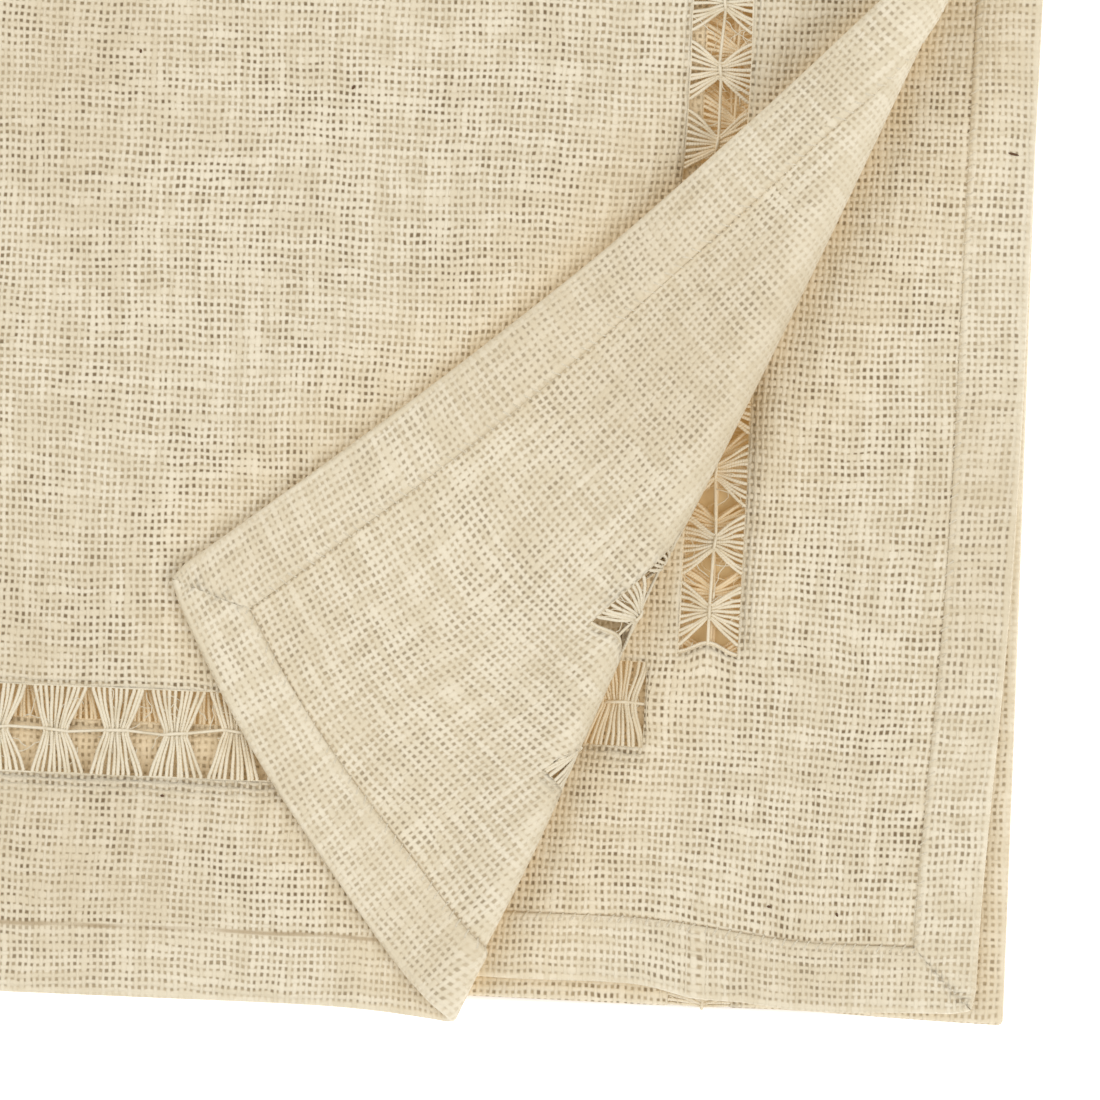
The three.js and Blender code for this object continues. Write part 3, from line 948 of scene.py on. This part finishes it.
def tie_path(band, waists):
    """The tie thread runs along the band's middle and winds one and a half times round each waist."""
    path = []
    u, s = band["place"](-TIE_END, 0.5)
    path.append((u, s, 0, 1))
    half = HALF_WAISTS[band["kind"]] + 0.3
    for _, waist, across in waists:
        slant = draw.uniform(-0.02, 0.02)
        for step in range(TIE_STEPS + 1):
            angle = math.pi * (1 - 3 * step / TIE_STEPS)
            u, s = band["place"](waist + half * math.cos(angle), across + slant * math.cos(angle))
            path.append((u, s, 0.1 + (TIE_RISE + TIE_GROWTH * step) * math.sin(angle), 1))
    u, s = band["place"](band["length"] + TIE_END, 0.5)
    path.append((u, s, 0, 1))
    return path


def edge_paths(band):
    """The last whole yarn of the cloth lies along each edge of the band."""
    paths = []
    for across in (-0.1 / band["width"], 1 + 0.1 / band["width"]):
        path = []
        for along in steps(-1, band["length"] + 1, round(band["length"] / EDGE_STEP)):
            sway = draw.uniform(-EDGE_SWAY, EDGE_SWAY) / band["width"]
            u, s = band["place"](along, across + sway)
            path.append((u, s, 0.14, draw.uniform(0.8, 1.1)))
        paths.append(path)
    return paths


def cotton_thread():
    """Loosely twisted cotton yarn: the twist shows as fine slanting ridges, with pale fuzz."""
    material, yarn, shader = new_material("cotton_thread")
    place = yarn.node("TexCoord", out=3)
    colour = noise(place, 160, 1.0).ramp(0.2, 0.55).mixed(CREAM, PALE_CREAM)
    fibres = noise(place, 1500, 1.0)
    colour = (fibres.ramp(0.5, 0.7) * 0.22).mixed(colour, WARM_CREAM)
    # Where other layers lie over a thread, it is painted a warm tan shade and given a painted glow.
    under = attribute(yarn, "covered")
    colour = (under * 1.5).least(0.7).mixed(colour, PAINTED_SHADE_TAN)
    wrap = yarn.node("UVMap", {"uv_map": "UVMap"})
    along, round_it = parts_of(wrap)
    twist = ((along * 60 + round_it * 2) * math.pi).cos()
    relief = twist * 0.4 + fibres * 0.8
    bump = relief.node("Bump", inputs={"Strength": 0.5, "Distance": 0.0002, "Height": relief})
    colour.feed(shader, "Base Color")
    bump.feed(shader, "Normal")
    paint_glow_under_layers(under, shader)
    return material


thread_cotton = cotton_thread()
tie_paths, free_edges, worked_bands = [], [], []
for band in bands():
    pitch, waists = band_waists(band)
    bundles = threads(f"{band['name']}_bundles", bundle_paths(band, pitch, waists), THREAD)
    finish_piece(bundles, thread_cotton)
    tie_paths.append(tie_path(band, waists))
    free_edges += edge_paths(band)
    worked_bands.append((band, waists))

ties = threads("tie_threads", tie_paths, TIE_THREAD)
edge_yarns = threads("band_edge_yarns", free_edges, EDGE_YARN)
for piece in (ties, edge_yarns):
    finish_piece(piece, thread_cotton)

# Fine fibres work loose from the soft yarns of the bundles, a few to each, and lie curled in the
# openings. They spread a little wider than a side band, so some lie hidden in the cloth there.
STRAY_FIBRE = 0.26
STRAYS, STRAY_POINTS, STRAY_STEP = 7, 7, 1.2


def stray_fibre_paths(band, waists):
    """Each fibre wanders over the band in short steps."""
    paths = []
    for middle, _, _ in waists:
        for _ in range(STRAYS):
            along, across = middle + draw.uniform(-8, 8), draw.uniform(0.15, 0.85) * band["width"]
            heading, height = draw.uniform(0, 2 * math.pi), draw.uniform(-0.2, 0.3)
            path = []
            for _ in range(STRAY_POINTS):
                along = min(max(along, 1.5), band["length"] - 1.5)
                across = min(max(across, 0.2), band["width"] - 0.2)
                u, s = band["place"](along, across / band["width"])
                path.append((u, s, height, draw.uniform(0.7, 1.1)))
                along += STRAY_STEP * math.cos(heading)
                across += STRAY_STEP * math.sin(heading)
                heading += draw.uniform(-0.8, 0.8)
                height = min(max(height + draw.uniform(-0.15, 0.15), -0.4), 0.5)
            paths.append(path)
    return paths


stray_paths = [path for band, waists in worked_bands for path in stray_fibre_paths(band, waists)]
strays = threads("stray_fibres", stray_paths, STRAY_FIBRE)
finish_piece(strays, thread_cotton)

# Bits of cotton seed husk were spun in with the cotton and show on either face: a long dark one on
# a hem, five small ones on the second layer and the top one, and more here and there.
FLECK_BROWN = (0.13, 0.07, 0.035, 1)
FLECK_WIDTH, FLECKS_ELSEWHERE = 0.62, 50


def fleck_paths():
    """Each fleck is a short spindle on one face of the cloth: its u, s, face, length and slant."""
    hem_face, back, front = -2 * HEM_ROLL - THICKNESS / 2, -THICKNESS / 2, THICKNESS / 2
    flecks = [
        (198, 1637, hem_face, 2.4, 0.2),
        (151.8, 1807.8, back, 1, 0),
        (168.7, 1808, back, 0.9, 1),
        (47.7, 211.6, front, 1.1, 1),
        (66.8, 113.6, front, 1.2, 2),
        (9.2, 46.5, front, 0.9, 0),
    ]
    for _ in range(FLECKS_ELSEWHERE):
        u, s = draw.uniform(-115, 115), draw.uniform(90, LENGTH - 90)
        flecks.append((u, s, draw.choice((back, front)), draw.uniform(0.5, 1.2), draw.uniform(0, 3)))
    paths = []
    for u, s, above, length, slant in flecks:
        path = []
        for part, share in ((-0.5, 0.4), (-0.2, 1), (0.2, 0.9), (0.5, 0.3)):
            away = part * length
            path.append((u + away * math.cos(slant), s + away * math.sin(slant), above * 1.05, share))
        paths.append(path)
    return paths


flecks = threads("seed_flecks", fleck_paths(), FLECK_WIDTH)
husk, _, husk_shader = new_material("seed_husk")
husk_shader.inputs["Base Color"].default_value = FLECK_BROWN
finish_piece(flecks, husk)

# Slanting stitches of sewing cotton hold the inner edge of every hem down. They show on the back
# of the cloth, which is the upper side of the turned corner and of the second layer.
STITCH_THREAD = 0.5
STITCHES = {"end": 130, "side": 620}


def hem_stitch_paths():
    """Each stitch climbs over the hem's inner edge from the cloth beside it, and slants as it goes."""
    low, high = -THICKNESS / 2 - 0.1, -2 * HEM_ROLL - THICKNESS / 2 + 0.1
    lines = []
    for s, way in ((TOP_HEM, 1), (LENGTH - SECOND_HEM, -1)):
        line = steps(SIDE_HEM - WIDTH / 2, WIDTH / 2 - SIDE_HEM, STITCHES["end"])
        lines += [(u, s, 0, way) for u in line]
    for side in (-1, 1):
        line = steps(TOP_HEM, LENGTH - SECOND_HEM, STITCHES["side"])
        lines += [(side * (WIDTH / 2 - SIDE_HEM), s, -side, 0) for s in line]
    rise = ((-1.1, high + 0.3), (-0.8, high), (-0.2, high + 0.15), (0.55, low), (0.8, low + 0.3))
    paths = []
    for u, s, in_u, in_s in lines:
        slant, shift = draw.uniform(0.5, 0.9), draw.uniform(-0.4, 0.4)
        path = []
        for away, above in rise:
            along = slant * away + shift
            place = (u + in_u * away + abs(in_s) * along, s + in_s * away + abs(in_u) * along)
            path.append((*place, above, draw.uniform(0.85, 1.1)))
        paths.append(path)
    return paths


stitches = threads("hem_stitches", hem_stitch_paths(), STITCH_THREAD)
finish_piece(stitches, thread_cotton)

# The runner lies on a pale floor, under broad soft lights from the left and the right. The floor
# glows of itself round the cloth, hiding the cloth's shadow, and has painted shade and glow under it.
# The camera looks straight down on the corner, a little turned, as the photograph does.
FLOOR_REACH = 3
FLOOR_WHITE = (0.9, 0.9, 0.9, 1)
FLOOR_SHADE_UNDER_CLOTH = (0.75, 0.60, 0.35, 1)
GLOW_AROUND, GLOW_UNDER = (0.7, 0.72, 0.75, 1), (0.05, 0.03, 0.01, 1)
GLOW_EDGE, FLOOR_SHADE_EDGE = (-8.5, -5.5), (-50, -40)
LAMPS = (
    {"name": "soft_key", "place": (-1.2, 0.5, 1.6), "size": 1.6, "power": 15},
    {"name": "fill", "place": (1.3, -0.8, 1.7), "size": 1.6, "power": 19},
)
SKY_WHITE, SKY_STRENGTH = (1, 0.965, 0.91, 1), 0.6
PICTURE_WIDTH = 254
PICTURE_CENTRE = (93.9, -123.6)
CAMERA_TURN = 2.4
CAMERA_HEIGHT = 5000

floor_mesh = bmesh.new()
bmesh.ops.create_grid(floor_mesh, x_segments=1, y_segments=1, size=FLOOR_REACH)
floor_data = bpy.data.meshes.new("floor")
floor_mesh.to_mesh(floor_data)
floor_mesh.free()
floor = add_object("floor", floor_data)
pale, ground, pale_shader = new_material("pale_floor")
ground_x, ground_y = parts_of(ground.node("TexCoord", out=3))
outside = (abs(ground_x) - cad_box[1][0]).most(abs(ground_y) - cad_box[1][1])
# Under the cloth the floor is painted a warm tan shade, with a faint painted glow.
shade_start, shade_end = (place * MM for place in FLOOR_SHADE_EDGE)
ground_colour = outside.ramp(shade_start, shade_end).mixed(FLOOR_SHADE_UNDER_CLOTH, FLOOR_WHITE)
ground_colour.feed(pale_shader, "Base Color")
glow_start, glow_end = (place * MM for place in GLOW_EDGE)
ground_glow = outside.ramp(glow_start, glow_end).mixed(GLOW_UNDER, GLOW_AROUND)
ground_glow.feed(pale_shader, "Emission Color")
pale_shader.inputs["Emission Strength"].default_value = 1
floor_data.materials.append(pale)

for lamp in LAMPS:
    light = bpy.data.lights.new(lamp["name"], "AREA")
    light.shape, light.size, light.energy = "DISK", lamp["size"], lamp["power"]
    hung = add_object(lamp["name"], light)
    hung.location = lamp["place"]
    hung.rotation_euler = (-hung.location).to_track_quat("-Z", "Y").to_euler()

sky = bpy.data.worlds.new("studio")
sky.use_nodes = True
sky_light = sky.node_tree.nodes["Background"]
sky_light.inputs["Color"].default_value = SKY_WHITE
sky_light.inputs["Strength"].default_value = SKY_STRENGTH
bpy.context.scene.world = sky
bpy.context.scene.view_settings.view_transform = "Standard"

view = bpy.data.cameras.new("camera")
view.sensor_width = 36
view.lens = view.sensor_width * CAMERA_HEIGHT / PICTURE_WIDTH
camera = add_object("camera", view)
camera_x, camera_y = (PICTURE_CENTRE - FRAME_SHIFT[:2]) * MM
camera.location = (camera_x, camera_y, CAMERA_HEIGHT * MM)
camera.rotation_euler = (0, 0, math.radians(CAMERA_TURN))
bpy.context.scene.camera = camera
